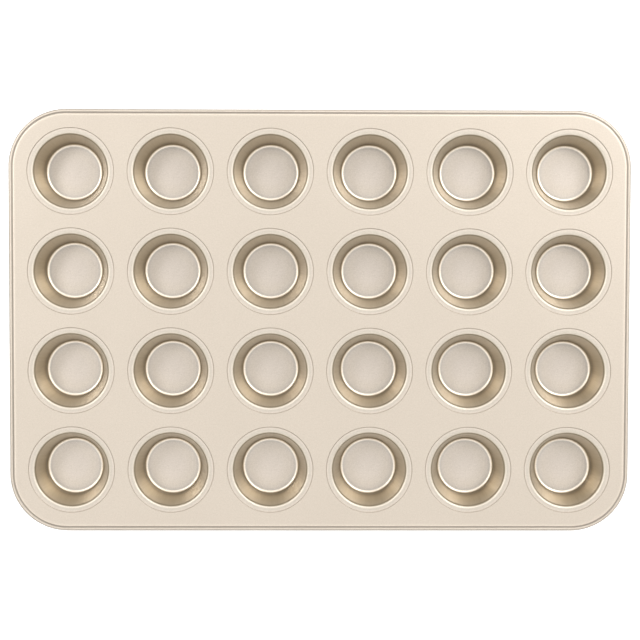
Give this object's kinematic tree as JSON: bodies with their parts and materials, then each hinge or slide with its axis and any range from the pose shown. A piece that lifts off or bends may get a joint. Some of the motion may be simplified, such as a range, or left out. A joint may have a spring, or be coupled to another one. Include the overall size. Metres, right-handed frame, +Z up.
{
  "type": "mini muffin tin",
  "caption": "Shallow rectangular baking tin of pressed steel with rounded corners, a rolled rim and a grid of small tapered round cups, champagne non-stick finish.",
  "frame": {"origin": "on the plane the tin stands on, which is the underside of the cups' floors, at the middle of the tin's outline", "axes": "+X along the rows of six cups (the longest side), +Y across them, +Z up, out of the cups' mouths"},
  "size_m": [0.39, 0.265, 0.0226],
  "materials": {
    "plate_coating": "champagne non-stick coating on steel, satin with fine grain",
    "cup_coating": "champagne non-stick coating on steel, satin, drawn smooth on the walls",
    "rim_wire": "plain drawn steel wire, inside the rolled rim"
  },
  "bodies": {
    "root": {"top_plate": "plate_coating", "cup_r1_c1": "cup_coating", "cup_r1_c2": "cup_coating", "cup_r1_c3": "cup_coating", "cup_r1_c4": "cup_coating", "cup_r1_c5": "cup_coating", "cup_r1_c6": "cup_coating", "cup_r2_c1": "cup_coating", "cup_r2_c2": "cup_coating", "cup_r2_c3": "cup_coating", "cup_r2_c4": "cup_coating", "cup_r2_c5": "cup_coating", "cup_r2_c6": "cup_coating", "cup_r3_c1": "cup_coating", "cup_r3_c2": "cup_coating", "cup_r3_c3": "cup_coating", "cup_r3_c4": "cup_coating", "cup_r3_c5": "cup_coating", "cup_r3_c6": "cup_coating", "cup_r4_c1": "cup_coating", "cup_r4_c2": "cup_coating", "cup_r4_c3": "cup_coating", "cup_r4_c4": "cup_coating", "cup_r4_c5": "cup_coating", "cup_r4_c6": "cup_coating", "rim_wire": "rim_wire"}
  },
  "joints": []
}
